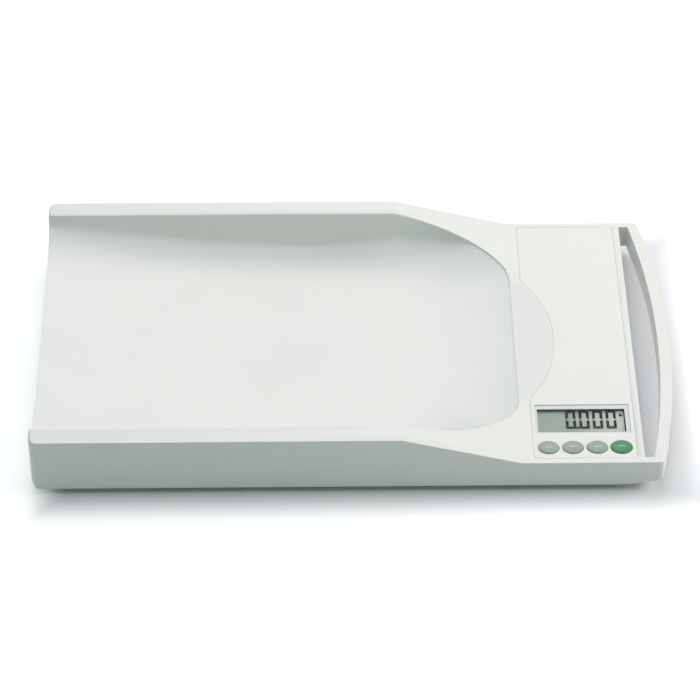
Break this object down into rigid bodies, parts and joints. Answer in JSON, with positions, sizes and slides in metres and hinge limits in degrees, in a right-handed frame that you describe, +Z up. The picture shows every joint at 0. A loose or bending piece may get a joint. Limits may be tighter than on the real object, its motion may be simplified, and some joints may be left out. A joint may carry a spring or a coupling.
{
  "type": "digital baby weighing scale",
  "caption": "Low digital scale for babies: a moulded tray open at the foot end, a deck with a numeric display and oval keys, and a slotted carrying handle.",
  "frame": {"origin": "on the floor, under the middle of the plan", "axes": "+X from the open foot end of the tray to the handle, +Y to the side without the keys, +Z up"},
  "size_m": [0.552, 0.307, 0.0605],
  "materials": {
    "white_shell": "satin white moulding with a fine texture",
    "base_plastic": "matt off-white moulding",
    "foil": "satin printed overlay, left bare",
    "window": "clear polished pane",
    "display_glass": "grey-green reflective display with dark digits",
    "grey_key": "satin grey",
    "green_key": "satin green",
    "dark_plastic": "matt black",
    "board": "green laminate",
    "contact_metal": "plated spring metal",
    "steel": "plain steel",
    "foot_rubber": "matt black rubber",
    "battery_sleeve": "dark sleeve"
  },
  "bodies": {
    "housing": {"battery_1": "battery_sleeve", "battery_2": "battery_sleeve", "battery_3": "battery_sleeve", "battery_4": "battery_sleeve", "battery_5": "battery_sleeve", "battery_6": "battery_sleeve", "battery_contact_1": "contact_metal", "battery_contact_2": "contact_metal", "battery_contact_3": "contact_metal", "battery_contact_4": "contact_metal", "battery_contact_5": "contact_metal", "battery_contact_6": "contact_metal", "battery_contact_7": "contact_metal", "cell_cap_front_left": "base_plastic", "cell_cap_front_right": "base_plastic", "cell_cap_rear_left": "base_plastic", "cell_cap_rear_right": "base_plastic", "control_foil": "foil", "display_window": "window", "foot_cup_front_left": "base_plastic", "foot_cup_front_right": "base_plastic", "foot_cup_rear_left": "base_plastic", "foot_cup_rear_right": "base_plastic", "foot_pad_front_left": "foot_rubber", "foot_pad_front_right": "foot_rubber", "foot_pad_rear_left": "foot_rubber", "foot_pad_rear_right": "foot_rubber", "housing_screw_1": "steel", "housing_screw_2": "steel", "housing_screw_3": "steel", "housing_screw_4": "steel", "housing_screw_5": "steel", "housing_screw_6": "steel", "housing_screw_7": "steel", "housing_screw_8": "steel", "lcd_frame": "dark_plastic", "lcd_panel": "display_glass", "load_cell_front_left": "steel", "load_cell_front_right": "steel", "load_cell_rear_left": "steel", "load_cell_rear_right": "steel", "lower_shell": "base_plastic", "main_board": "board", "switch_body_1": "dark_plastic", "switch_body_2": "dark_plastic", "switch_body_3": "dark_plastic", "switch_body_start": "dark_plastic", "upper_shell": "white_shell"},
    "button_1": {"button_1": "grey_key", "switch_plunger_1": "contact_metal"},
    "button_2": {"button_2": "grey_key", "switch_plunger_2": "contact_metal"},
    "button_3": {"button_3": "grey_key", "switch_plunger_3": "contact_metal"},
    "button_start": {"button_start": "green_key", "switch_plunger_start": "contact_metal"},
    "battery_cover": {"battery_cover": "base_plastic"}
  },
  "joints": [
    {"name": "button_1_press", "type": "slide", "parent": "housing", "child": "button_1", "axis": [0, 0, -1], "range_m": [0, 0.0008], "stiffness_N_per_m": 600},
    {"name": "button_2_press", "type": "slide", "parent": "housing", "child": "button_2", "axis": [0, 0, -1], "range_m": [0, 0.0008], "stiffness_N_per_m": 600},
    {"name": "button_3_press", "type": "slide", "parent": "housing", "child": "button_3", "axis": [0, 0, -1], "range_m": [0, 0.0008], "stiffness_N_per_m": 600},
    {"name": "button_start_press", "type": "slide", "parent": "housing", "child": "button_start", "axis": [0, 0, -1], "range_m": [0, 0.0008], "stiffness_N_per_m": 600},
    {"name": "battery_cover_hinge", "type": "hinge", "parent": "housing", "child": "battery_cover", "pos_m": [0.1618, 0, 0.0082], "axis": [0, 1, 0], "range_deg": [0, 95]}
  ]
}
